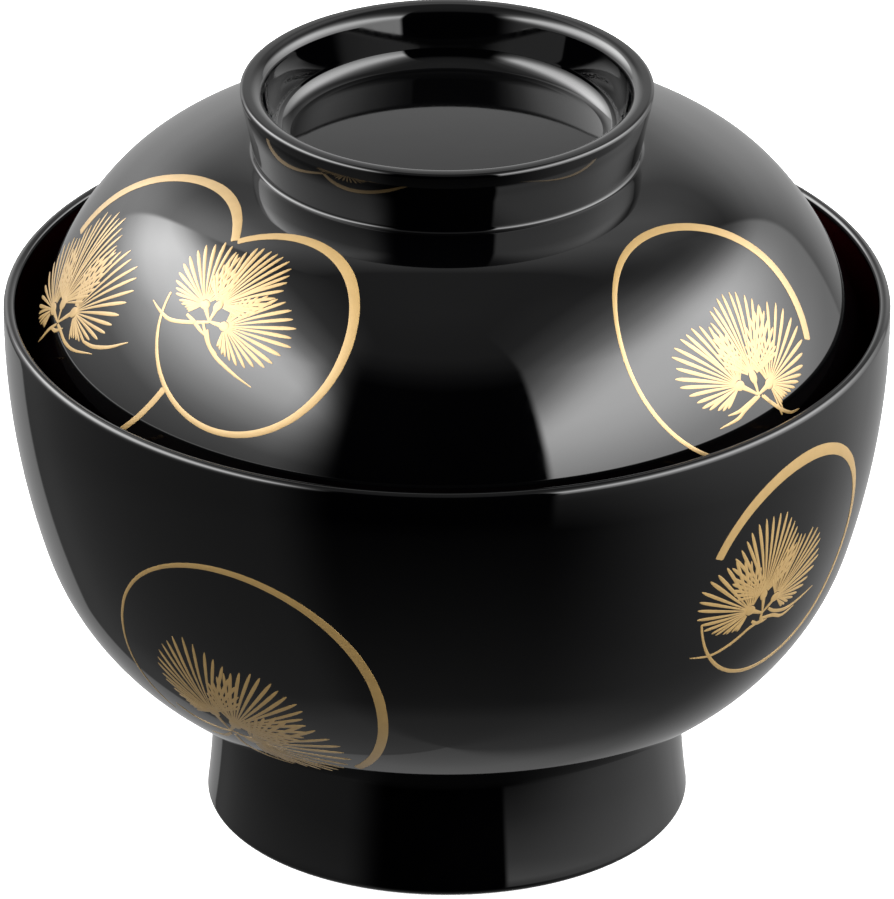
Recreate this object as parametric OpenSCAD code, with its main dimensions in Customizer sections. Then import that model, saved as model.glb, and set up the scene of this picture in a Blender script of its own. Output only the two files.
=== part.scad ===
/* [Bowl] */
// Radius of the mouth at the rim
mouth_r = 62.5; // [62:0.25:63.5]
// Height of the rim above the table
rim_z = 77.5; // [76.5:0.25:78.5]
// Thickness of the rim, which is rounded over
rim_t = 1.75; // [1.5:0.05:2]
// Radius of the long arc down the outside of the wall
wall_arc = 115; // [113:1:117]
// Radius of the tighter arc that turns under to the foot
base_arc = 38; // [37.5:0.25:38.5]
// Slope at which the two outside arcs meet
turn_a = 17.4; // [17:0.2:18]
// Radius of the long arc down the inside of the wall
inside_arc = 150; // [145:1:160]
// Thickness at the turn to the base
base_t = 3.2; // [3:0.1:3.4]

/* [Foot] */
// Radius of the foot at its rounded bottom edge
foot_r = 34.1; // [33.9:0.1:34.4]
// Radius of the rounding at the bottom edge
foot_edge = 1; // [0.8:0.1:1.2]
// Slope of the foot's side where its flare starts
flare_a = 7; // [6:0.5:7.5]
// Radius of the hollow arc up the side of the foot
flare_arc = 110; // [105:1:120]
// Radius of the recess under the foot
recess_r = 30.2; // [29.6:0.2:30.6]
// Depth of the recess under the foot
recess_z = 14.6; // [13:0.2:14.8]

/* [Lid] */
// Centre radius of the arc up the side of the lid
side_r = 13.45; // [13.35:0.05:13.55]
// Centre height of the arc up the side of the lid
side_z = 61.2; // [61:0.1:61.6]
// Radius of the arc up the side of the lid
side_arc = 46.5; // [46.4:0.05:46.6]
// Radius of the arc over the shoulder
shoulder_arc = 26.8; // [26.4:0.2:27.2]
// Radius of the flatter arc across the crown
crown_arc = 35; // [34:0.5:36]
// Slope at which the side meets the shoulder
shoulder_a = 38; // [37:0.5:39]
// Slope at which the shoulder meets the crown
crown_a = 67; // [66:0.5:68]
// Slope at which the lid's rounded edge starts
edge_a = 8.5; // [8:0.25:9]
// Thickness of the lid
lid_t = 2.4; // [2.3:0.1:2.5]

/* [Ring knob] */
// Radius of the ring knob at its top
knob_r = 29.1; // [28.9:0.1:29.3]
// Radius of the ring knob where it meets the crown
knob_base_r = 27.2; // [27:0.1:27.4]
// Height of the top of the ring knob above the table
knob_z = 110.5; // [110.25:0.25:110.75]
// Radius of the hollow arc up the side of the ring knob
knob_arc = 160; // [120:10:200]
// Width of the top of the ring knob, with both of its rounded edges
knob_t = 3.4; // [3.3:0.1:3.5]
// Radius of the outer rounded edge of that top
knob_edge = 0.6; // [0.55:0.05:0.8]
// Radius of the inner rounded edge of that top
knob_lip = 2; // [1.9:0.05:2.1]
// Height of the dish floor above the table
dish_z = 102.4; // [102.2:0.1:102.6]
// Slope of the dish's side
dish_a = 15; // [14:0.5:16]
// Radius of the fillet round the dish floor
dish_fillet = 3.1; // [3:0.1:3.3]

/* [Lacquer and gold] */
// Thickness of the ground and lacquer over the wood
coat = 0.4; // [0.3:0.05:0.5]
// Height of the raised gold above the lacquer
gold = 0.15; // [0.1:0.05:0.2]
// Number of needles drawn in each fan
needles = 9; // [7:1:11]

/* [Hidden] */
$fn = 180;

wood = "#8a6a45";
black = "#0b0b0d";
maroon = "#2a0408";
gold_leaf = "#c9a060";

function at(a) = [cos(a), sin(a)];

// Points along an arc, a step of about two degrees apart
function arc(c, r, from, to, step = 2) =
    let (n = max(2, ceil(abs(to - from) / step)))
    [for (i = [0:n]) c + r * at(from + (to - from) * i / n)];

// Direction of p seen from c, between 0 and 360 degrees
function seen(c, p) = (atan2(p.y - c.y, p.x - c.x) + 360) % 360;

// Where two circles cross, on the left of the line from the first to the second
function meet(c1, r1, c2, r2) =
    let (d = c2 - c1, x = (d * d + r1 ^ 2 - r2 ^ 2) / (2 * norm(d)))
    c1 + (x * d + sqrt(r1 ^ 2 - x ^ 2) * [-d.y, d.x]) / norm(d);

function backwards(points) = [for (i = [len(points) - 1:-1:0]) points[i]];

// Outside of the bowl: the wall arc stands upright where the rounded lip starts
lip = rim_t / 2;
lip_z = rim_z - lip;
wall_c = [mouth_r - wall_arc, lip_z];
base_c = wall_c + (wall_arc - base_arc) * at(-turn_a);

// Inside of the bowl: the base arc shares base_c, and the wall arc leaves it
// smoothly and ends at the lip's inner edge. The centres and that edge make a
// triangle with known sides.
inside_base_arc = base_arc - base_t;
inside_top = [mouth_r - rim_t, lip_z];
to_top = inside_top - base_c;
centre_gap = inside_arc - inside_base_arc;
lean = acos((centre_gap ^ 2 + to_top * to_top - inside_arc ^ 2)
    / (2 * centre_gap * norm(to_top)));
inside_a = 180 - atan2(to_top.y, to_top.x) - lean;
inside_c = base_c - centre_gap * at(-inside_a);

// Foot: a rounded bottom edge runs into a slightly hollow flared side
foot_edge_c = [foot_r - foot_edge, foot_edge];
flare_c = foot_edge_c + (foot_edge + flare_arc) * at(flare_a);

// Lid: three arcs, each leaving the one before it smoothly
side_c = [side_r, side_z];
shoulder_c = side_c + (side_arc - shoulder_arc) * at(shoulder_a);
crown_c = shoulder_c + (shoulder_arc - crown_arc) * at(crown_a);
lid_edge_c = side_c + (side_arc - lid_t / 2) * at(edge_a);

// The gold stops short of the ring knob
film_end = crown_a + 11;

// Ring knob: its side is hollow, between its foot on the crown and its rounded top
knob_top_z = knob_z - knob_edge;
knob_foot_z = crown_c.y + sqrt(crown_arc ^ 2 - (knob_base_r - crown_c.x) ^ 2);
knob_chord = [knob_r - knob_base_r, knob_top_z - knob_foot_z];
knob_c = [knob_base_r, knob_foot_z] + knob_chord / 2
    + sqrt(knob_arc ^ 2 - knob_chord * knob_chord / 4)
    * [knob_chord.y, -knob_chord.x] / norm(knob_chord);

// Dish inside it: the sloping side touches the lip's arc and the floor's fillet
lip_c = [knob_r - knob_t + knob_lip, knob_z - knob_lip];
dish_c_z = dish_z + dish_fillet;
dish_c = [lip_c.x - (knob_lip + dish_fillet + (lip_c.y - dish_c_z) * sin(dish_a))
    / cos(dish_a), dish_c_z];

// Outlines. Each is drawn in from the finished surface by inset, which is the
// thickness of the lacquer where the wood is meant.
function lip_line(inset) = arc([mouth_r - lip, lip_z], lip - inset, 180, 0, 15);
function foot_joint(inset) =
    meet(flare_c, flare_arc + inset, base_c, base_arc - inset);
function wall_line(inset) = concat(
    arc(wall_c, wall_arc - inset, 0, -turn_a, 1.5),
    arc(base_c, base_arc - inset, -turn_a, seen(base_c, foot_joint(inset)) - 360, 3));
function foot_line(inset) = concat(
    arc(flare_c, flare_arc + inset, seen(flare_c, foot_joint(inset)), 180 + flare_a),
    arc(foot_edge_c, foot_edge - inset, flare_a, -90, 15),
    [[recess_r + inset, inset], [recess_r + inset, recess_z + inset],
     [0, recess_z + inset]]);
function inside_line(grow) = concat(
    [[0, base_c.y - inside_base_arc - grow]],
    arc(base_c, inside_base_arc + grow, -90, -inside_a, 3),
    arc(inside_c, inside_arc + grow, -inside_a,
        -1 - asin((inside_c.y - lip_z) / inside_arc), 1.5),
    [inside_top + [grow, 0]]);

function edge_line(inset) =
    arc(lid_edge_c, lid_t / 2 - inset, edge_a - 180, edge_a, 15);
function dome_line(inset, crown_end) = concat(
    arc(side_c, side_arc - inset, edge_a, shoulder_a, 1.5),
    arc(shoulder_c, shoulder_arc - inset, shoulder_a, crown_a),
    arc(crown_c, crown_arc - inset, crown_a, crown_end, 1.5));
function knob_foot(inset) =
    meet(crown_c, crown_arc - inset, knob_c, knob_arc + inset);
function knob_line(inset) = concat(
    arc(knob_c, knob_arc + inset, seen(knob_c, knob_foot(inset)),
        seen(knob_c, [knob_r, knob_top_z])),
    arc([knob_r - knob_edge, knob_top_z], knob_edge - inset, 0, 90, 15),
    arc(lip_c, knob_lip - inset, 90, 180 - dish_a, 15),
    arc(dish_c, dish_fillet + inset, -dish_a, -90, 15),
    [[0, dish_z - inset]]);
function lid_line(inset) = concat(edge_line(inset),
    dome_line(inset, seen(crown_c, knob_foot(inset))), knob_line(inset));
function lid_inside_line(inset) = concat(dome_line(inset, 90),
    [[0, crown_c.y + crown_arc - inset]]);

// Each motif: angle round the axis, slope of the surface under the ring's centre,
// ring radius, widest and narrowest stroke, direction of the widest stroke, the
// stretches of direction in which the ring is drawn, then the pine's place, turn
// and size
BOWL_RIGHT = [-36.8, -11.6, 17.4, 1.9, 0.7, 95, [[-167, 159]], [-5.3, -5.2], 0, 1.13];
BOWL_LEFT = [-120.7, -20, 20.8, 1.5, 0.5, 10, [[-55, 205]], [-3, -11.2], -33, 1.2];
BOWL_BACK = [82, -12.5, 18.5, 1.7, 0.6, 60, [[-30, 215]], [-5.5, -6.5], 8, 1.15];
LID_LEFT = [-156.6, 35.1, 20.2, 1.9, 0.8, 165, [[57, 175], [-70, -15]],
    [-10.3, -8], 0, 1.18];
LID_MIDDLE = [-125, 45.2, 15.1, 1.5, 0.5, 45, [[-188, 128]], [-6, -0.8], -18, 0.93];
LID_RIGHT = [-41.1, 35.4, 17.2, 1.6, 0.55, 15, [[-21, 285]], [1.8, -8.9], 0, 1];
LID_BACK = [80, 36, 17.8, 1.6, 0.55, 120, [[-150, 165]], [-4, -6.5], 10, 1.08];

// Brush ring: the stroke is widest towards m[5] and narrowest opposite
function stroke(m, a) = (m[3] + m[4]) / 2 + (m[3] - m[4]) / 2 * cos(a - m[5]);

module ring_outline(m) {
    for (stretch = m[6]) {
        n = ceil((stretch[1] - stretch[0]) / 6);
        turns = [for (i = [0:n]) stretch[0] + (stretch[1] - stretch[0]) * i / n];
        polygon(concat([for (a = turns) (m[2] + stroke(m, a) / 2) * at(a)],
            [for (a = backwards(turns)) (m[2] - stroke(m, a) / 2) * at(a)]));
    }
}

// Needle length in a fan falls off to either side of its middle direction
function needle(reach, off) = reach * (0.64 + 0.36 * cos(1.8 * off));

// A fan of pointed needles round a bud
module fan(bud, middle, from, to, reach) {
    step = (to - from) / (needles - 1);
    polygon([for (i = [0:needles - 1], side = [-0.5, 0, 0.5])
        let (off = from + (i + side) * step)
        bud + needle(reach, off) * (side == 0 ? 1 : 0.35) * at(middle + off)]);
}

// Three fans and two twigs, less where they would cross the ring
module pine_outline(m) {
    difference() {
        translate(m[7]) rotate(m[8]) scale(m[9]) {
            fan([-2.6, 1.1], 140, -38, 97, 12.3);
            fan([0, 2], 90, -42, 42, 12.3);
            fan([2.7, 0.6], 40, -97, 38, 11.8);
            polygon([[0.5, -0.8], [-3.5, -2.2], [-8.8, -2.4], [-3.5, -1.6], [-0.5, -0.2]]);
            polygon([[-0.5, -0.8], [3.5, -3], [8, -4.4], [3.5, -2.3], [0.5, -0.2]]);
        }
        ring_outline(m);
    }
}

// Puts a flat drawing on the tangent plane at a point and cuts it through the surface
module cut_at(m, point) {
    translate([point.x, 0, point.y]) rotate([0, 90 - m[1], 0]) rotate([0, 0, 90])
        translate([0, 0, -m[2] / 2]) linear_extrude(0.6 * m[2]) children();
}

function bowl_point(a) = a > -turn_a ? wall_c + wall_arc * at(a) : base_c + base_arc * at(a);
function lid_point(a) = a < shoulder_a ? side_c + side_arc * at(a)
    : shoulder_c + shoulder_arc * at(a);

// Gold lies in a thin layer outside the lacquer. Only the quarter turn that holds
// the motif is made.
module gold_layer(m, outer, inner) {
    color(gold_leaf) rotate([0, 0, m[0] - 45]) rotate_extrude(angle = 90)
        polygon(concat(outer, backwards(inner)));
}

module bowl_gold(m) {
    intersection() {
        gold_layer(m, wall_line(-gold), wall_line(0));
        rotate([0, 0, m[0]]) cut_at(m, bowl_point(m[1])) children();
    }
}

module lid_gold(m) {
    intersection() {
        gold_layer(m, dome_line(-gold, film_end), dome_line(0, film_end));
        rotate([0, 0, m[0]]) cut_at(m, lid_point(m[1])) children();
    }
}

module bowl_core() {
    color(wood) rotate_extrude() polygon(concat(lip_line(coat), wall_line(coat),
        foot_line(coat), inside_line(coat)));
}

module bowl_outer_lacquer() {
    color(black) rotate_extrude() polygon(concat(lip_line(0), wall_line(0),
        backwards(wall_line(coat)), backwards(lip_line(coat))));
}

module foot_lacquer() {
    color(black) rotate_extrude() polygon(concat(foot_line(0), backwards(foot_line(coat))));
}

module bowl_inner_lacquer() {
    color(maroon) rotate_extrude() polygon(concat(inside_line(0),
        backwards(inside_line(coat))));
}

module lid_core() {
    color(wood) rotate_extrude() polygon(concat(lid_line(coat),
        backwards(lid_inside_line(lid_t - coat))));
}

module lid_outer_lacquer() {
    color(black) rotate_extrude() polygon(concat(lid_line(0), backwards(lid_line(coat))));
}

module lid_inner_lacquer() {
    color(maroon) rotate_extrude() polygon(concat(lid_inside_line(lid_t - coat),
        backwards(lid_inside_line(lid_t))));
}

module bowl_right_ring() { bowl_gold(BOWL_RIGHT) ring_outline(BOWL_RIGHT); }
module bowl_right_pine() { bowl_gold(BOWL_RIGHT) pine_outline(BOWL_RIGHT); }
module bowl_left_ring() { bowl_gold(BOWL_LEFT) ring_outline(BOWL_LEFT); }
module bowl_left_pine() { bowl_gold(BOWL_LEFT) pine_outline(BOWL_LEFT); }
module bowl_back_ring() { bowl_gold(BOWL_BACK) ring_outline(BOWL_BACK); }
module bowl_back_pine() { bowl_gold(BOWL_BACK) pine_outline(BOWL_BACK); }

// The left ring passes behind the middle one and isn't drawn inside it
module lid_left_ring() { lid_gold(LID_LEFT) ring_outline(LID_LEFT); }
module lid_left_pine() { lid_gold(LID_LEFT) pine_outline(LID_LEFT); }
module lid_middle_ring() { lid_gold(LID_MIDDLE) ring_outline(LID_MIDDLE); }
module lid_middle_pine() { lid_gold(LID_MIDDLE) pine_outline(LID_MIDDLE); }
module lid_right_ring() { lid_gold(LID_RIGHT) ring_outline(LID_RIGHT); }
module lid_right_pine() { lid_gold(LID_RIGHT) pine_outline(LID_RIGHT); }
module lid_back_ring() { lid_gold(LID_BACK) ring_outline(LID_BACK); }
module lid_back_pine() { lid_gold(LID_BACK) pine_outline(LID_BACK); }

bowl_core();
bowl_outer_lacquer();
bowl_inner_lacquer();
foot_lacquer();
bowl_right_ring();
bowl_right_pine();
bowl_left_ring();
bowl_left_pine();
bowl_back_ring();
bowl_back_pine();
lid_core();
lid_outer_lacquer();
lid_inner_lacquer();
lid_left_ring();
lid_left_pine();
lid_middle_ring();
lid_middle_pine();
lid_right_ring();
lid_right_pine();
lid_back_ring();
lid_back_pine();
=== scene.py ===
"""A lidded lacquer bowl: turned wood under black and maroon lacquer, with raised gold
brush rings and pine fans. Lengths in the helpers are in millimetres, and meshes, the floor
and the camera's distances in metres."""
import math

import bpy
import bmesh
import numpy as np
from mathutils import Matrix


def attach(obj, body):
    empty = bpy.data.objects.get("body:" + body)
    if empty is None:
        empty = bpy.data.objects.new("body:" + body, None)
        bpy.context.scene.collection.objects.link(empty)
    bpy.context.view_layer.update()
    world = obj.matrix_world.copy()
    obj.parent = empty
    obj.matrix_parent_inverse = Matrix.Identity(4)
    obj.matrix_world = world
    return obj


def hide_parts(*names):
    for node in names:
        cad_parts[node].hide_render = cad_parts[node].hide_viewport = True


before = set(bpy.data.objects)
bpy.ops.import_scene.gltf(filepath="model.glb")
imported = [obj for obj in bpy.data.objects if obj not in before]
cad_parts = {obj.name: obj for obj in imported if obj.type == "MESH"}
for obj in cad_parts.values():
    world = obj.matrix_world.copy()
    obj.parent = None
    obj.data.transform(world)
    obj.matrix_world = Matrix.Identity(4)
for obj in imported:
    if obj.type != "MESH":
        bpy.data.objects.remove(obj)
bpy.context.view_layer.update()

MM = 0.001
SPOKES = 256          # faces round the axis of each turned surface
COAT = 0.4            # thickness of the lacquer
FILLET = 0.55         # lacquer pooled in the corners under the foot and the knob

# Sizes of the CAD outlines, as in the part's source
MOUTH_R, RIM_Z, RIM_T = 62.5, 77.5, 1.75
WALL_ARC, BASE_ARC, TURN_A = 115, 38, 17.4
INSIDE_ARC, BASE_T = 150, 3.2
FOOT_R, FOOT_EDGE, FLARE_A, FLARE_ARC = 34.1, 1, 7, 110
RECESS_R, RECESS_Z, RECESS_EDGE = 30.2, 14.6, 0.5
SIDE_C, SIDE_ARC = np.array([13.45, 61.2]), 46.5
SHOULDER_ARC, SHOULDER_A = 26.8, 38
CROWN_ARC, CROWN_A = 35, 67
EDGE_A, LID_T = 8.5, 2.4
KNOB_R, KNOB_BASE_R, KNOB_Z, KNOB_ARC = 29.1, 27.2, 110.5, 160
KNOB_T, KNOB_EDGE, KNOB_LIP = 3.4, 0.6, 2
DISH_Z, DISH_A, DISH_FILLET = 102.4, 15, 3.1
DISH_DOME = 0.25       # height of the dish floor's slight dome
SHARP = 40             # edges that turn by more degrees than this stay sharp


# ---------------------------------------------------------------- outlines
def at(a):
    return np.array([math.cos(math.radians(a)), math.sin(math.radians(a))])


def arc(c, r, start, end, step):
    n = max(2, math.ceil(abs(end - start) / step))
    return [c + r * at(start + (end - start) * i / n) for i in range(n + 1)]


def seen(c, p):
    """Direction of p from c, from 0 to 360 degrees."""
    return math.degrees(math.atan2(p[1] - c[1], p[0] - c[0])) % 360


def meet(c1, r1, c2, r2):
    """Where two circles cross, on the left of the line from the first to the second."""
    d = c2 - c1
    gap = np.linalg.norm(d)
    x = (gap ** 2 + r1 ** 2 - r2 ** 2) / (2 * gap)
    return c1 + (x * d + math.sqrt(r1 ** 2 - x ** 2) * np.array([-d[1], d[0]])) / gap


def flat(start, end, hold=0.15):
    """A straight stretch, with a point near each end so that it shades flat."""
    start, end = np.asarray(start, float), np.asarray(end, float)
    step = hold * (end - start) / np.linalg.norm(end - start)
    return [start, start + step, end - step, end]


LIP = RIM_T / 2
LIP_C = np.array([MOUTH_R - LIP, RIM_Z - LIP])
WALL_C = np.array([MOUTH_R - WALL_ARC, LIP_C[1]])
BASE_C = WALL_C + (WALL_ARC - BASE_ARC) * at(-TURN_A)
INSIDE_BASE_ARC = BASE_ARC - BASE_T
INSIDE_TOP = np.array([MOUTH_R - RIM_T, LIP_C[1]])
TO_TOP = INSIDE_TOP - BASE_C
CENTRE_GAP = INSIDE_ARC - INSIDE_BASE_ARC
LEAN = math.degrees(math.acos((CENTRE_GAP ** 2 + TO_TOP @ TO_TOP - INSIDE_ARC ** 2)
                              / (2 * CENTRE_GAP * np.linalg.norm(TO_TOP))))
INSIDE_A = 180 - math.degrees(math.atan2(TO_TOP[1], TO_TOP[0])) - LEAN
INSIDE_C = BASE_C - CENTRE_GAP * at(-INSIDE_A)
FOOT_EDGE_C = np.array([FOOT_R - FOOT_EDGE, FOOT_EDGE])
FLARE_C = FOOT_EDGE_C + (FOOT_EDGE + FLARE_ARC) * at(FLARE_A)
SHOULDER_C = SIDE_C + (SIDE_ARC - SHOULDER_ARC) * at(SHOULDER_A)
CROWN_C = SHOULDER_C + (SHOULDER_ARC - CROWN_ARC) * at(CROWN_A)
LID_EDGE_C = SIDE_C + (SIDE_ARC - LID_T / 2) * at(EDGE_A)
KNOB_TOP_Z = KNOB_Z - KNOB_EDGE
KNOB_FOOT_Z = CROWN_C[1] + math.sqrt(CROWN_ARC ** 2 - (KNOB_BASE_R - CROWN_C[0]) ** 2)
CHORD = np.array([KNOB_R - KNOB_BASE_R, KNOB_TOP_Z - KNOB_FOOT_Z])
KNOB_C = (np.array([KNOB_BASE_R, KNOB_FOOT_Z]) + CHORD / 2
          + math.sqrt(KNOB_ARC ** 2 - CHORD @ CHORD / 4)
          * np.array([CHORD[1], -CHORD[0]]) / np.linalg.norm(CHORD))
LIP_TOP_C = np.array([KNOB_R - KNOB_T + KNOB_LIP, KNOB_Z - KNOB_LIP])
DISH_C = np.array([0, DISH_Z + DISH_FILLET])
DISH_C[0] = LIP_TOP_C[0] - ((KNOB_LIP + DISH_FILLET + (LIP_TOP_C - DISH_C)[1] * at(DISH_A)[1])
                            / at(DISH_A)[0])

FOOT_FILLET_C = meet(FLARE_C, FLARE_ARC - FILLET, BASE_C, BASE_ARC + FILLET)
KNOB_FILLET_C = meet(CROWN_C, CROWN_ARC + FILLET, KNOB_C, KNOB_ARC - FILLET)


# Every outline is drawn in from the finished surface by inset
def rim_outline(inset):
    return arc(LIP_C, LIP - inset, 180, 0, 6)


def wall_outline(inset):
    return (arc(WALL_C, WALL_ARC - inset, 0, -TURN_A, 0.5)[1:]
            + arc(BASE_C, BASE_ARC - inset, -TURN_A, seen(BASE_C, FOOT_FILLET_C) - 360, 1)[1:])


def foot_outline(inset):
    wall, top = RECESS_R + inset, RECESS_Z + inset
    rounding = RECESS_EDGE
    return (arc(FOOT_FILLET_C, FILLET + inset, seen(FOOT_FILLET_C, BASE_C),
                seen(FLARE_C, FOOT_FILLET_C), 9)
            + arc(FLARE_C, FLARE_ARC + inset, seen(FLARE_C, FOOT_FILLET_C), 180 + FLARE_A, 0.5)[1:]
            + arc(FOOT_EDGE_C, FOOT_EDGE - inset, FLARE_A, -90, 9)[1:]
            + flat([FOOT_EDGE_C[0], inset], [wall + rounding, inset])
            + arc(np.array([wall + rounding, inset + rounding]), rounding, -90, -180, 18)
            + arc(np.array([wall - rounding, top - rounding]), rounding, 0, 90, 18)
            + flat([wall - rounding, top], [0, top]))


def inside_outline(grow):
    end = -1 - math.degrees(math.asin((INSIDE_C[1] - LIP_C[1]) / INSIDE_ARC))
    low = BASE_C[1] - INSIDE_BASE_ARC - grow
    return (flat([0, low], [BASE_C[0], low])
            + arc(BASE_C, INSIDE_BASE_ARC + grow, -90, -INSIDE_A, 1)
            + arc(INSIDE_C, INSIDE_ARC + grow, -INSIDE_A, end, 0.5)[1:]
            + [INSIDE_TOP + np.array([grow, 0])])


def dome_outline(inset, end):
    return (arc(SIDE_C, SIDE_ARC - inset, EDGE_A, SHOULDER_A, 1)[1:]
            + arc(SHOULDER_C, SHOULDER_ARC - inset, SHOULDER_A, CROWN_A, 1)[1:]
            + arc(CROWN_C, CROWN_ARC - inset, CROWN_A, end, 1)[1:])


def knob_outline(inset):
    top_out = np.array([KNOB_R - KNOB_EDGE, KNOB_TOP_Z])
    top, side = KNOB_LIP - inset, DISH_FILLET + inset
    return (arc(KNOB_FILLET_C, FILLET + inset, seen(KNOB_FILLET_C, CROWN_C),
                seen(KNOB_C, KNOB_FILLET_C), 9)
            + arc(KNOB_C, KNOB_ARC + inset, seen(KNOB_C, KNOB_FILLET_C),
                  seen(KNOB_C, [KNOB_R, KNOB_TOP_Z]), 2)[1:]
            + arc(top_out, KNOB_EDGE - inset, 0, 90, 9)[1:]
            + arc(LIP_TOP_C, top, 90, 180 - DISH_A, 5)
            + flat(LIP_TOP_C + top * at(180 - DISH_A), DISH_C + side * at(-DISH_A))
            + arc(DISH_C, side, -DISH_A, -90, 5)[1:]
            + [np.array([DISH_C[0] * (1 - t), DISH_Z - inset + DISH_DOME * t * (2 - t)])
               for t in np.arange(1, 13) / 12])


def lid_outline(inset):
    return (arc(LID_EDGE_C, LID_T / 2 - inset, EDGE_A - 180, EDGE_A, 6)
            + dome_outline(inset, seen(CROWN_C, KNOB_FILLET_C)) + knob_outline(inset))


def lid_inside_outline(inset):
    return ([SIDE_C + (SIDE_ARC - inset) * at(EDGE_A)] + dome_outline(inset, 90)
            + [np.array([0, CROWN_C[1] + CROWN_ARC - inset])])


# ---------------------------------------------------------------- meshes
def new_object(name, verts, faces, material, body, slot, nodes):
    mesh = bpy.data.meshes.new(name)
    mesh.from_pydata([tuple(v) for v in np.asarray(verts) * MM], [], faces)
    bm = bmesh.new()
    bm.from_mesh(mesh)
    bmesh.ops.recalc_face_normals(bm, faces=bm.faces)
    for face in bm.faces:
        face.smooth = True
    for edge in bm.edges:
        edge.smooth = len(edge.link_faces) < 2 or edge.calc_face_angle() < math.radians(SHARP)
    bm.to_mesh(mesh)
    bm.free()
    obj = bpy.data.objects.new(name, mesh)
    bpy.context.collection.objects.link(obj)
    mesh.materials.append(material)
    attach(obj, body)
    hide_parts(*nodes)
    return obj


def lathe(outline):
    """Vertices and faces of a surface of revolution. Points on the axis become one vertex,
    and an outline that doesn't end on the axis is closed on itself."""
    points = [outline[0]]
    for p in outline[1:]:
        if np.linalg.norm(p - points[-1]) > 1e-4:
            points.append(p)
    closed = points[0][0] > 1e-6 or points[-1][0] > 1e-6
    turns = 2 * np.pi * np.arange(SPOKES) / SPOKES
    verts, rings = [], []
    for r, z in points:
        if r < 1e-6:
            rings.append([len(verts)] * SPOKES)
            verts.append((0, 0, z))
        else:
            rings.append(list(range(len(verts), len(verts) + SPOKES)))
            verts.extend(zip(r * np.cos(turns), r * np.sin(turns), np.full(SPOKES, z)))
    if closed:
        rings.append(rings[0])
    faces = []
    for a, b in zip(rings, rings[1:]):
        for i in range(SPOKES):
            j = (i + 1) % SPOKES
            corners = list(dict.fromkeys((a[i], a[j], b[j], b[i])))
            if len(corners) > 2:
                faces.append(corners)
    return verts, faces


def coat(name, outside, inside, **facts):
    """A closed skin between two outlines."""
    return new_object(name, *lathe(outside + inside[::-1]), **facts)


# ---------------------------------------------------------------- gold drawing
# The motifs are drawn flat, in millimetres from the ring's centre with x along the turn
# and y up the slope, then laid on the curved lacquer along the centre's normal.
# A ring is one or more strokes of (direction, width). A fan is a bud's x, y, two radii
# and tilt, the middle direction, how far the fan opens on either side, its longest
# needle and the number of needles. A twig is a line of points.
GOLD_H = 0.05          # height of the gold over the lacquer
SUNK = 0.05            # how far its edges reach into the lacquer
NEEDLE_W = 0.56        # widest part of a needle
FALL = 1.8             # how quickly needles shorten away from a fan's middle
NEEDLE_AT = np.array([0, 0.12, 0.3, 0.5, 0.68, 0.8, 0.9, 0.96, 1])
NEEDLE_SHAPE = np.array([0.32, 0.4, 0.6, 0.8, 0.96, 1, 0.88, 0.62, 0.22])
SHORTEST = 1           # needles with less than this left to draw are skipped
RING_STEP = 2.2        # degrees between the points of a ring
BLUNT = 0.72           # part of a ring's end step that is cut off, for a blunt end

PINE_LID_RIGHT = dict(
    fans=[(-1.2, -7.2, 0.92, 0.72, 0, 133, -74, 79, 11.7, 22),
          (1.8, -6.9, 0.72, 1.08, 0, 75, -62, 72, 12.6, 22),
          (4.4, -8.8, 0.88, 0.72, 20, 46, -125, 68, 12.4, 25)],
    twigs=[[(1.8, -9.7), (-1.5, -10.5), (-3.5, -11.2), (-7, -11.3)],
           [(1.2, -9.6), (-0.6, -10), (-2.8, -10.35), (-5, -10.2)],
           [(2.2, -9.8), (3.6, -11.2), (5.4, -12.8), (7.3, -13.8), (9.3, -13.9)],
           [(2.6, -9.9), (3.4, -11), (4.6, -11.9)]],
    stem=(1.7, -9.5))
PINE_LID_MIDDLE = dict(
    fans=[(-8.3, 1.1, 0.88, 0.68, 0, 116, -72, 98, 10.3, 23),
          (-6.1, 1.4, 0.68, 0.96, -20, 62, -70, 72, 11.4, 23),
          (-3.7, -1.2, 0.88, 0.72, -15, 8, -95, 78, 11, 23)],
    twigs=[[(-6.4, -1.2), (-9.5, -1.9), (-13, -2.2), (-15.5, -1.3), (-17.6, 0)],
           [(-7.2, -1.6), (-5.5, -3.8), (-3.5, -5.4), (-1.4, -6.4), (1, -7.3), (3.8, -8.1)],
           [(-6.2, -2.3), (-4.9, -4.3), (-3.2, -5.2)],
           [(-10.6, -0.9), (-9, -1.6), (-7.3, -2.6), (-5.6, -3.4)]],
    stem=(-6.4, -1.1))
PINE_LID_LEFT = dict(
    fans=[(-13.7, -8, 1.16, 0.84, -10, 150, -76, 100, 12.5, 23),
          (-11, -6.1, 1.04, 1.08, 0, 92, -68, 72, 14.8, 24),
          (-6.3, -5.7, 1.08, 0.8, 35, 48, -103, 70, 13.9, 23)],
    twigs=[[(0, -7.6), (3, -7), (6.4, -5.4), (9.6, -3)],
           [(-9.6, -8.9), (-8, -9.1), (-5, -9.8), (-1.5, -9.6), (3.3, -8)],
           [(-10, -9), (-12.2, -10.6), (-14, -12.4), (-15.5, -13.6)],
           [(-11.5, -10.1), (-9.5, -9.8), (-7.3, -8.6)]],
    stem=(-9.9, -8.7))
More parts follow.
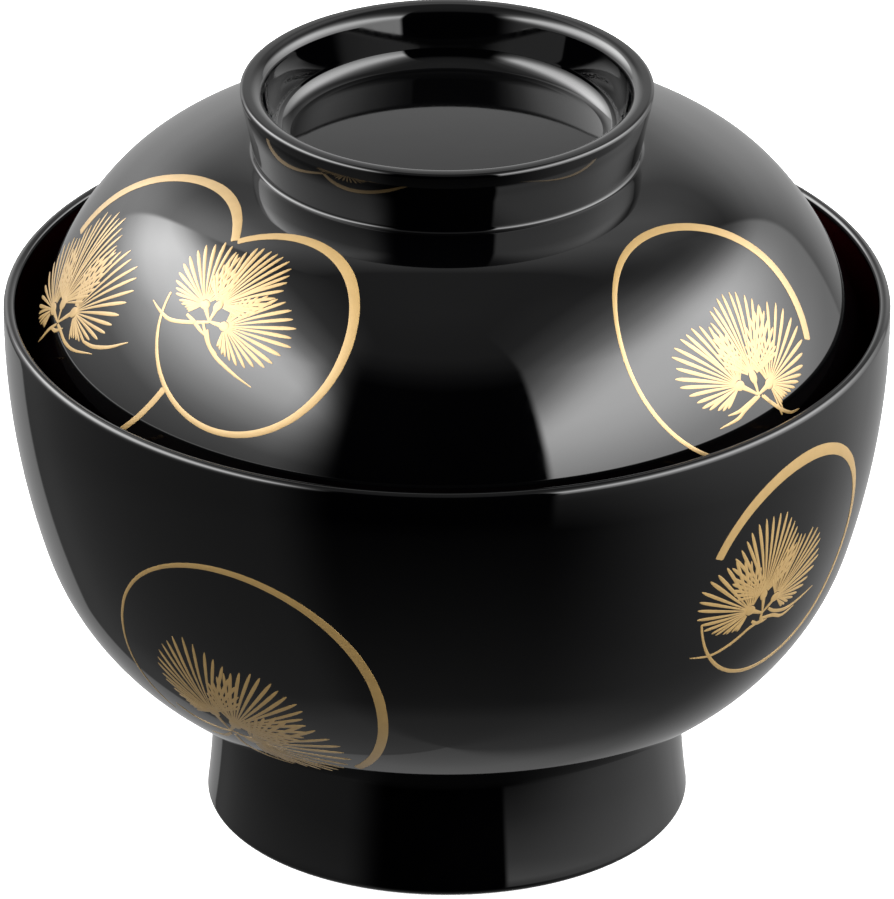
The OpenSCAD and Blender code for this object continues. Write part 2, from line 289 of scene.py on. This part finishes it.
PINE_BOWL_RIGHT = dict(
    fans=[(-7.7, -4.7, 1.04, 0.8, -20, 140, -76, 98, 12.3, 24),
          (-5.5, -2.8, 0.76, 0.96, 15, 98, -68, 70, 13.6, 23),
          (-2.5, -4.4, 1, 0.76, 0, 40, -88, 76, 11.2, 22)],
    twigs=[[(-4.6, -7.6), (-7, -8.1), (-10, -9.6), (-13.5, -10.5), (-17.4, -9.9)],
           [(-5, -7.1), (-2, -7.8), (0.5, -8.9), (3.5, -8.6)],
           [(-3.6, -5.9), (-1.8, -7.1), (1, -8), (4, -8), (8.2, -7.5)],
           [(-6.8, -6.9), (-5.4, -7.8), (-3.2, -7.9)],
           [(-4.9, -6), (-4.8, -7.2), (-4, -7.8)]],
    stem=(-4.8, -6.2))
PINE_BOWL_LEFT = dict(
    fans=[(-6.5, -8, 1, 0.88, 0, 100, -68, 100, 14.2, 24),
          (-3.5, -9.6, 1, 1.12, -25, 46, -70, 74, 15.2, 25),
          (-2, -13.2, 1.2, 0.84, 0, 8, -93, 74, 15, 23)],
    twigs=[[(-5.3, -12.4), (-8, -12.9), (-11.5, -12.6), (-14.6, -10.8)],
           [(-4.9, -13.2), (-4.6, -16), (-2.6, -18.6), (1.4, -20)],
           [(-5.6, -13.2), (-7.8, -15.4), (-10.6, -16.4)]],
    stem=(-5.2, -12))


def moved(pine, shift, turn, size):
    """The same drawing elsewhere, turned and resized."""
    c, s = size * math.cos(math.radians(turn)), size * math.sin(math.radians(turn))

    def place(p):
        return (shift[0] + c * p[0] - s * p[1], shift[1] + s * p[0] + c * p[1])
    return dict(
        fans=[(*place(f[:2]), size * f[2], size * f[3], f[4] + turn, f[5] + turn,
               f[6], f[7], size * f[8], f[9]) for f in pine["fans"]],
        twigs=[[place(p) for p in twig] for twig in pine["twigs"]],
        stem=place(pine["stem"]))


# Name: body, angle round the axis, slope of the surface, ring radius, strokes, pine
MOTIFS = {
    "lid_left": ("lid", -156.6, 35.1, 20.2,
                 [[(175, 1.9), (150, 1.75), (130, 1.5), (90, 1.3), (55.2, 1.1)],
                  [(-11.8, 0.95), (-30, 0.85), (-45, 0.7), (-60, 0.45), (-72, 0.2)]],
                 PINE_LID_LEFT),
    "lid_middle": ("lid", -125, 45.2, 15.1,
                   [[(130.4, 1.05), (90, 1.35), (60, 1.55), (0, 1.35), (-45, 0.95), (-90, 0.8),
                     (-130, 0.7), (-165, 0.5), (-188, 0.35)]],
                   PINE_LID_MIDDLE),
    "lid_right": ("lid", -41.1, 35.4, 17.2,
                  [[(-21.5, 1.45), (-10, 1.6), (20, 1.6), (45, 1.5), (90, 1.1), (120, 0.8),
                    (150, 0.6), (220, 0.6), (250, 0.5), (285, 0.2)]],
                  PINE_LID_RIGHT),
    "lid_back": ("lid", 80, 36, 17.8,
                 [[(-150, 0.35), (-100, 0.7), (-40, 0.9), (10, 1.1), (60, 1.5), (120, 1.65),
                   (165, 1.4)]],
                 moved(PINE_BOWL_RIGHT, (1.2, -1.2), 6, 0.95)),
    "bowl_left": ("bowl", -120.7, -20, 20.8,
                  [[(-53, 1.1), (-30, 1.3), (0, 1.45), (30, 1.4), (60, 1.15), (90, 0.9),
                    (120, 0.65), (150, 0.48), (180, 0.42), (205, 0.32), (222, 0.15)]],
                  PINE_BOWL_LEFT),
    "bowl_right": ("bowl", -36.8, -11.6, 17.4,
                   [[(159, 1.5), (120, 1.9), (90, 2.0), (45, 1.5), (0, 0.95), (-60, 0.8),
                     (-90, 0.8), (-120, 0.6), (-150, 0.45), (-168, 0.35)]],
                   PINE_BOWL_RIGHT),
    "bowl_back": ("bowl", 82, -12.5, 18.5,
                  [[(-30, 1.5), (20, 1.8), (60, 1.7), (110, 1.2), (160, 0.7), (190, 0.5),
                    (215, 0.3)]],
                  moved(PINE_LID_RIGHT, (-3.5, 1.5), 5, 1.1)),
}

# Arcs of the two surfaces that carry gold, from low to high, each up to a slope
LID_ARCS = [(SIDE_C, SIDE_ARC, SHOULDER_A), (SHOULDER_C, SHOULDER_ARC, CROWN_A),
            (CROWN_C, CROWN_ARC, 90)]
BOWL_ARCS = [(BASE_C, BASE_ARC, -TURN_A), (WALL_C, WALL_ARC, 90)]


def on_surface(points, arcs):
    """Signed distance from the outline and its outward normal, for points in 3-D."""
    r, z = np.hypot(points[:, 0], points[:, 1]), points[:, 2]
    off, nr, nz = np.zeros(len(r)), np.ones(len(r)), np.zeros(len(r))
    left = np.ones(len(r), bool)
    for centre, radius, top in arcs:
        dr, dz = r - centre[0], z - centre[1]
        here = left & ((np.degrees(np.arctan2(dz, dr)) <= top) | (top == 90))
        length = np.hypot(dr, dz)
        off[here] = (length - radius)[here]
        nr[here], nz[here] = (dr / length)[here], (dz / length)[here]
        left &= ~here
    normal = np.column_stack([nr * points[:, 0] / r, nr * points[:, 1] / r, nz])
    return off, normal


def laid(points, motif):
    """Puts drawn points (x, y, height) on the lacquer."""
    body, turn, slope = motif[:3]
    arcs = LID_ARCS if body == "lid" else BOWL_ARCS
    for centre, radius, top in arcs:
        if slope <= top:
            section = centre + radius * at(slope)
            break
    (ct, st), (cs, ss) = at(turn), at(slope)
    normal = np.array([cs * ct, cs * st, ss])
    across = np.array([-st, ct, 0])
    up = np.array([-ss * ct, -ss * st, cs])
    start = np.array([section[0] * ct, section[0] * st, section[1]])
    points = np.asarray(points, float)
    p = start + points[:, :1] * across + points[:, 1:2] * up
    for _ in range(12):
        off, n = on_surface(p, arcs)
        p = p - (off / (n @ normal))[:, None] * normal
    off, n = on_surface(p, arcs)
    return p + points[:, 2:] * n


class Drawing:
    """Collects raised strokes and dots as one mesh."""
    SECTION = [(-0.5, None), (-0.485, 0.7), (-0.36, 0.97), (0, 1), (0.36, 0.97), (0.485, 0.7),
               (0.5, None)]

    def __init__(self):
        self.points, self.faces = [], []

    def stroke(self, line, widths, height=GOLD_H):
        line, widths = np.asarray(line, float), np.asarray(widths, float)
        along = np.gradient(line, axis=0)
        along /= np.linalg.norm(along, axis=1)[:, None]
        side = np.column_stack([-along[:, 1], along[:, 0]])
        first, n = len(self.points), len(self.SECTION)
        for p, s, w in zip(line, side, widths):
            low = min(1, w / 0.3)
            for x, h in self.SECTION:
                self.points.append((*(p + s * x * w), -SUNK if h is None else h * height * low))
        for i in range(len(line) - 1):
            for j in range(n):
                a, b = first + i * n + j, first + i * n + (j + 1) % n
                self.faces.append((a, b, b + n, a + n))
        last = first + (len(line) - 1) * n
        self.faces.append(tuple(range(first, first + n)))
        self.faces.append(tuple(range(last, last + n)))

    def dot(self, x, y, rx, ry, tilt, height=GOLD_H * 1.15, steps=28):
        rings = [(1, None), (0.97, 0.5), (0.86, 0.85), (0.6, 1), (0.3, 1.05)]
        first = len(self.points)
        ct, st = at(tilt)
        for size, h in rings:
            for k in range(steps):
                u, v = size * rx * at(360 * k / steps)[0], size * ry * at(360 * k / steps)[1]
                self.points.append((x + ct * u - st * v, y + st * u + ct * v,
                                    -SUNK if h is None else h * height))
        for i in range(len(rings) - 1):
            for k in range(steps):
                a, b = first + i * steps + k, first + i * steps + (k + 1) % steps
                self.faces.append((a, b, b + steps, a + steps))
        self.faces.append(tuple(range(first, first + steps)))
        last = first + (len(rings) - 1) * steps
        self.faces.append(tuple(range(last, last + steps)))


def smooth_line(points, n=14):
    """A curve through the points, n steps between neighbours."""
    p = np.asarray(points, float)
    p = np.vstack([2 * p[0] - p[1], p, 2 * p[-1] - p[-2]])
    out = []
    for a, b, c, d in zip(p, p[1:], p[2:], p[3:]):
        for t in np.arange(n) / n:
            out.append(0.5 * (2 * b + (c - a) * t + (2 * a - 5 * b + 4 * c - d) * t ** 2
                              + (3 * b - a - 3 * c + d) * t ** 3))
    return np.array(out + [p[-2]])


def draw_ring(radius, strokes, dice):
    """The ring's strokes, with a slight wobble in width and radius."""
    drawing = Drawing()
    for stroke in strokes:
        ends, widths = zip(*stroke)
        steps = max(8, int(abs(ends[-1] - ends[0]) / RING_STEP))
        turns = np.linspace(ends[0], ends[-1], steps)
        order = np.argsort(ends)
        width = np.interp(turns, np.array(ends)[order], np.array(widths)[order])
        wobble = np.convolve(dice.normal(0, 1, steps + 12), np.ones(13) / 13, "valid")
        width = width * (1 + 0.07 * wobble)
        width[[0, -1]] *= 0.8
        turns[0] += BLUNT * (turns[1] - turns[0])
        turns[-1] += BLUNT * (turns[-2] - turns[-1])
        ring = np.array([(radius + 0.04 * w) * at(a) for a, w in zip(turns, wobble)])
        drawing.stroke(ring, width)
    return drawing


def draw_pine(pine, dice):
    """Buds, the needles round them, stems down to where the twigs meet, and twigs."""
    drawing = Drawing()
    buds = [f[:4] for f in pine["fans"]]
    for x, y, rx, ry, tilt, middle, low, high, reach, count in pine["fans"]:
        drawing.dot(x, y, rx, ry, tilt)
        for i in range(count):
            off = low + (high - low) * (i + dice.uniform(-0.12, 0.12)) / (count - 1)
            way = at(middle + off)
            length = reach * (0.64 + 0.36 * math.cos(math.radians(FALL * off)))
            length *= 1 + dice.uniform(-0.035, 0.035)
            start = 0.9 * max(rx, ry)
            for bx, by, brx, bry in buds:
                along = (np.array([bx, by]) - (x, y)) @ way
                aside = abs((np.array([bx, by]) - (x, y)) @ np.array([-way[1], way[0]]))
                clear = max(brx, bry)
                if (bx, by) != (x, y) and along > 0 and aside < clear:
                    start = max(start, along + math.sqrt(clear ** 2 - aside ** 2))
            if start > length - SHORTEST:
                continue
            line = np.array([x, y]) + np.outer(start + (length - start) * NEEDLE_AT, way)
            bow = dice.uniform(-0.012, 0.012) * length
            line += np.outer(bow * np.sin(np.pi * NEEDLE_AT), [-way[1], way[0]])
            size = NEEDLE_W * min(1, 0.55 + 0.045 * length) * dice.uniform(0.92, 1.08)
            drawing.stroke(line, size * NEEDLE_SHAPE, GOLD_H * dice.uniform(0.82, 1))
        stem = np.array(pine["stem"]) - (x, y)
        drawing.stroke(np.array([x, y]) + np.outer([0.1, 0.5, 1], stem), [0.85, 0.6, 0.32])
    for twig in pine["twigs"]:
        line = smooth_line(twig, 8)
        t = np.linspace(0, 1, len(line))
        drawing.stroke(line, 0.12 + 0.46 * np.sin(np.pi * np.clip(0.18 + 0.82 * t, 0, 1)) ** 0.8)
    return drawing


# ---------------------------------------------------------------- materials
class Nodes:
    """A material's node tree, built from short calls."""

    def __init__(self, name, **fixed):
        self.material = bpy.data.materials.new(name)
        self.material.use_nodes = True
        self.tree = self.material.node_tree
        self.shader = self.tree.nodes["Principled BSDF"]
        for socket, value in fixed.items():
            self.shader.inputs[socket.replace("_", " ")].default_value = value
        self.place = self.tree.nodes.new("ShaderNodeTexCoord").outputs["Object"]

    def link(self, a, b):
        self.tree.links.new(a, b)

    def noise(self, scale, detail=2.0, rough=0.5, stretch=None):
        node = self.tree.nodes.new("ShaderNodeTexNoise")
        node.inputs["Scale"].default_value = scale
        node.inputs["Detail"].default_value = detail
        node.inputs["Roughness"].default_value = rough
        place = self.place
        if stretch:
            mapping = self.tree.nodes.new("ShaderNodeMapping")
            mapping.inputs["Scale"].default_value = stretch
            self.link(self.place, mapping.inputs["Vector"])
            place = mapping.outputs["Vector"]
        self.link(place, node.inputs["Vector"])
        return node.outputs["Fac"]

    def ramp(self, factor, *stops):
        node = self.tree.nodes.new("ShaderNodeValToRGB")
        ramp = node.color_ramp
        while len(ramp.elements) < len(stops):
            ramp.elements.new(0.5)
        for element, (at_, colour) in zip(ramp.elements, stops):
            element.position, element.color = at_, (*colour, 1)
        self.link(factor, node.inputs["Fac"])
        return node.outputs["Color"]

    def spread(self, factor, low, high, start=0.3, end=0.7):
        node = self.tree.nodes.new("ShaderNodeMapRange")
        for socket, value in zip(("From Min", "From Max", "To Min", "To Max"),
                                 (start, end, low, high)):
            node.inputs[socket].default_value = value
        self.link(factor, node.inputs["Value"])
        return node.outputs["Result"]

    def bump(self, height, distance, strength=1.0, under=None):
        node = self.tree.nodes.new("ShaderNodeBump")
        node.inputs["Distance"].default_value = distance
        node.inputs["Strength"].default_value = strength
        self.link(height, node.inputs["Height"])
        if under is not None:
            self.link(under, node.inputs["Normal"])
        return node.outputs["Normal"]

    def finish(self, **links):
        for socket, output in links.items():
            self.link(output, self.shader.inputs[socket.replace("_", " ")])
        return self.material


def lacquer(name, dark, light):
    """Polished lacquer: near-black depth, faint waviness, a trace of rubbing marks."""
    m = Nodes(name, IOR=1.5)
    depth = m.noise(45, 3)
    rubbed = m.noise(1400, 2, stretch=(1, 1, 0.15))
    wavy = m.noise(140, 1)
    return m.finish(Base_Color=m.ramp(depth, (0.35, dark), (0.65, light)),
                    Roughness=m.spread(rubbed, 0.025, 0.05),
                    Normal=m.bump(wavy, 0.00001, 0.5))


def gold_powder(name):
    """Gold powder in lacquer: an even ochre body with a broad soft sheen, and a fine grain."""
    m = Nodes(name, Metallic=0.4, Roughness=0.46, Coat_Weight=1.0, Coat_Roughness=0.45,
              Coat_IOR=1.6)
    cover = m.noise(700, 3)
    grain = m.noise(9000, 2)
    return m.finish(Base_Color=m.ramp(cover, (0.3, (0.365, 0.226, 0.064)),
                                      (0.7, (0.4, 0.251, 0.077))),
                    Normal=m.bump(grain, 0.000006, 0.5))


def turned_wood(name):
    """Plain brown wood with long grain and fine pores."""
    m = Nodes(name)
    grain = m.noise(60, 6, 0.6, stretch=(1, 6, 1))
    pores = m.noise(900, 2, stretch=(1, 5, 1))
    return m.finish(Base_Color=m.ramp(grain, (0.3, (0.24, 0.13, 0.06)), (0.55, (0.42, 0.27, 0.14)),
                                      (0.75, (0.52, 0.36, 0.2))),
                    Roughness=m.spread(pores, 0.5, 0.75),
                    Normal=m.bump(pores, 0.0001))


BLACK = lacquer("black_lacquer", (0.0002, 0.0002, 0.0003), (0.0004, 0.0004, 0.0005))
MAROON = lacquer("maroon_lacquer", (0.010, 0.0003, 0.001), (0.015, 0.0005, 0.0014))
GOLD = gold_powder("gold_powder")
WOOD = turned_wood("turned_wood")

# ---------------------------------------------------------------- pieces
for core in ("bowl_core", "lid_core"):
    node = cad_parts[core]
    node.data.materials.clear()
    node.data.materials.append(WOOD)

coat("bowl_wall_lacquer", rim_outline(0) + wall_outline(0), rim_outline(COAT) + wall_outline(COAT),
     material=BLACK, body="bowl", slot="black_lacquer", nodes=["bowl_outer_lacquer"])
coat("foot_black_lacquer", foot_outline(0), foot_outline(COAT),
     material=BLACK, body="bowl", slot="black_lacquer", nodes=["foot_lacquer"])
coat("bowl_inside_lacquer", inside_outline(0), inside_outline(COAT),
     material=MAROON, body="bowl", slot="maroon_lacquer", nodes=["bowl_inner_lacquer"])
coat("lid_black_lacquer", lid_outline(0), lid_outline(COAT),
     material=BLACK, body="lid", slot="black_lacquer", nodes=["lid_outer_lacquer"])
coat("lid_inside_lacquer", lid_inside_outline(LID_T), lid_inside_outline(LID_T - COAT),
     material=MAROON, body="lid", slot="maroon_lacquer", nodes=["lid_inner_lacquer"])

for seed, (name, motif) in enumerate(MOTIFS.items()):
    dice = np.random.RandomState(seed)
    body, radius, strokes, pine = motif[0], *motif[3:]
    for part, drawing in (("ring", draw_ring(radius, strokes, dice)), ("pine", draw_pine(pine, dice))):
        new_object(f"{name}_{part}_gold", laid(drawing.points, motif), drawing.faces, material=GOLD,
                   body=body, slot="gold_maki_e", nodes=[f"{name}_{part}"])

# ---------------------------------------------------------------- stage, lights, camera
ELEVATION, DISTANCE, AIM_Z = 26.45, 2.68, 0.0536
SENSOR, FOCAL = 36, 759      # a long lens, in mm
FLOOR_HALF = 6


def white_floor():
    """A white floor for the camera only: it lights and shades nothing."""
    size = FLOOR_HALF
    mesh = bpy.data.meshes.new("floor")
    mesh.from_pydata([(-size, -size, 0), (size, -size, 0), (size, size, 0), (-size, size, 0)], [],
                     [(0, 1, 2, 3)])
    obj = bpy.data.objects.new("floor", mesh)
    bpy.context.collection.objects.link(obj)
    m = Nodes("floor_white", Roughness=0.9)
    m.shader.inputs["Base Color"].default_value = (0.9, 0.9, 0.9, 1)
    m.shader.inputs["Emission Color"].default_value = (1, 1, 1, 1)
    m.shader.inputs["Emission Strength"].default_value = 0.7
    mesh.materials.append(m.material)
    obj.visible_glossy = obj.visible_diffuse = obj.visible_shadow = False


class Sky:
    """The studio as seen from the object: directions in degrees, azimuth 0 in front and
    90 on the right, elevation up."""

    def __init__(self, name):
        self.world = bpy.data.worlds.new(name)
        self.world.use_nodes = True
        self.tree = self.world.node_tree
        self.shade = self.tree.nodes["Background"]
        direction = self.tree.nodes.new("ShaderNodeTexCoord").outputs["Generated"]
        split = self.tree.nodes.new("ShaderNodeSeparateXYZ")
        self.tree.links.new(direction, split.inputs["Vector"])
        x, y, self.z = split.outputs
        self.azimuth = self.degrees(self.math("ARCTAN2", x, self.math("MULTIPLY", y, -1)))
        self.elevation = self.degrees(self.math("ARCSINE", self.z))

    def math(self, operation, *values):
        node = self.tree.nodes.new("ShaderNodeMath")
        node.operation = operation
        for socket, value in zip(node.inputs, values):
            if isinstance(value, (int, float)):
                socket.default_value = value
            else:
                self.tree.links.new(value, socket)
        return node.outputs["Value"]

    def degrees(self, angle):
        return self.math("DEGREES", angle)

    def edge(self, x, off, on):
        """0 at off and 1 at on, smooth between."""
        node = self.tree.nodes.new("ShaderNodeMapRange")
        node.interpolation_type = "SMOOTHSTEP"
        low, high = (off, on) if off < on else (on, off)
        for socket, value in (("From Min", low), ("From Max", high),
                              ("To Min", 0 if off < on else 1), ("To Max", 1 if off < on else 0)):
            node.inputs[socket].default_value = value
        self.tree.links.new(x, node.inputs["Value"])
        return node.outputs["Result"]

    def profile(self, x, *points):
        """Brightness along x through (angle, brightness) points."""
        top = max(v for _, v in points)
        low, high = points[0][0], points[-1][0]
        node = self.tree.nodes.new("ShaderNodeValToRGB")
        ramp = node.color_ramp
        while len(ramp.elements) < len(points):
            ramp.elements.new(0.5)
        for element, (angle, value) in zip(ramp.elements, points):
            element.position = (angle - low) / (high - low)
            element.color = (value / top, value / top, value / top, 1)
        scaled = self.math("DIVIDE", self.math("SUBTRACT", x, low), high - low)
        self.tree.links.new(scaled, node.inputs["Fac"])
        return self.math("MULTIPLY", node.outputs["Color"], top)

    def height_on(self, facing):
        """Elevation as a flat panel that faces the object from that azimuth has it."""
        turn = self.math("RADIANS", self.math("SUBTRACT", self.azimuth, facing))
        side = self.math("MAXIMUM", self.math("COSINE", turn), 0.05)
        flat_part = self.math("SQRT", self.math("SUBTRACT", 1, self.math("MULTIPLY", self.z, self.z)))
        return self.degrees(self.math("ARCTAN2", self.z, self.math("MULTIPLY", flat_part, side)))

    def product(self, *values):
        total = values[0]
        for value in values[1:]:
            total = self.math("MULTIPLY", total, value)
        return total

    def sum(self, *values):
        total = values[0]
        for value in values[1:]:
            total = self.math("ADD", total, value)
        return total


def studio():
    """A softbox on each side with soft upper edges, a dark gap in front where the camera
    stands, a dim ceiling and surroundings, and a grey table below. The camera sees white."""
    left_faces, right_faces = -92, 80
    lean = -0.06       # how the left softbox leans, in degrees up per degree round
    sky = Sky("studio")
    az, el = sky.azimuth, sky.elevation
    slant = sky.math("MULTIPLY", sky.math("SUBTRACT", az, left_faces), lean)
    left = sky.product(
        sky.edge(az, -147, -145), sky.edge(az, -170, -130), sky.edge(az, -29, -52),
        sky.profile(sky.math("ADD", el, slant),
                    (-60, 0.1), (-25, 0.18), (-5, 0.4), (4, 0.9), (10, 1.3), (16, 2.8), (22, 5.1),
                    (28, 8.2), (34, 10), (40, 10.6), (90, 10.6)),
        sky.profile(sky.height_on(left_faces), (-90, 1), (44, 1), (49, 0.76), (54, 0.36),
                    (59, 0.14), (66, 0.03), (75, 0)))
    right = sky.product(
        sky.edge(az, 26.5, 29.5), sky.edge(az, 157, 98), sky.edge(az, 145, 143),
        sky.profile(el, (-32, 0), (-25, 0.25), (-18, 0.7), (-10, 2.1), (0, 3.4), (5, 3.9),
                    (10, 4.8), (16, 6.4), (22, 8.1), (28, 9.3), (34, 9.6), (90, 9.6)),
        sky.profile(sky.height_on(right_faces), (-90, 1), (35, 1), (37, 0.97), (41, 0.82), (46, 0.52),
                    (51, 0.28), (56, 0.15), (62, 0.06), (70, 0.01), (80, 0)))
    glow = sky.product(
        sky.edge(az, 25, 85), sky.edge(az, 165, 125),
        sky.profile(el, (-70, 0.05), (-50, 0.15), (-40, 0.26), (-27, 0.45), (-15, 0.3), (-5, 0)))
    back = sky.math("ADD", sky.edge(az, -145, -147), sky.edge(az, 120, 165))
    behind = sky.product(back, sky.profile(el, (-60, 0.3), (-14, 0.6), (0, 0.9), (10, 1.15),
                                           (16, 1.15), (22, 0.95), (26.5, 0.62), (30, 0.42),
                                           (34, 0.5), (40, 0.8), (48, 0.8), (56, 0.4), (62, 0)))
    beside = sky.product(
        sky.edge(az, -145, -147), sky.edge(az, -166, -146),
        sky.profile(el, (0, 0), (12, 0.4), (25, 1.2), (36, 1.6), (44, 1.5), (52, 0.2), (55, 0)))
    ceiling = sky.profile(el, (44, 0), (52, 0.12), (60, 0.21), (90, 0.26))
    table = sky.profile(el, (-90, 0.26), (-70, 0.24), (-60, 0.12), (-45, 0.06), (-33, 0.02),
                        (-30, 0))
    light = sky.sum(left, right, glow, behind, beside, ceiling, table)
    seen_by_camera = sky.tree.nodes.new("ShaderNodeLightPath").outputs["Is Camera Ray"]
    reflected = sky.product(light, sky.math("SUBTRACT", 1, seen_by_camera))
    mixed = sky.math("ADD", reflected, seen_by_camera)
    sky.tree.links.new(mixed, sky.shade.inputs["Strength"])
    sky.shade.inputs["Color"].default_value = (1, 1, 1, 1)
    bpy.context.scene.world = sky.world


white_floor()
studio()
bpy.context.scene.view_settings.view_transform = "Standard"

camera = bpy.data.cameras.new("camera")
camera.lens, camera.sensor_width, camera.clip_end = FOCAL, SENSOR, 20
cam = bpy.data.objects.new("camera", camera)
back = at(ELEVATION)
cam.location = (0, -DISTANCE * back[0], AIM_Z + DISTANCE * back[1])
cam.rotation_euler = (math.radians(90 - ELEVATION), 0, 0)
bpy.context.collection.objects.link(cam)
bpy.context.scene.camera = cam
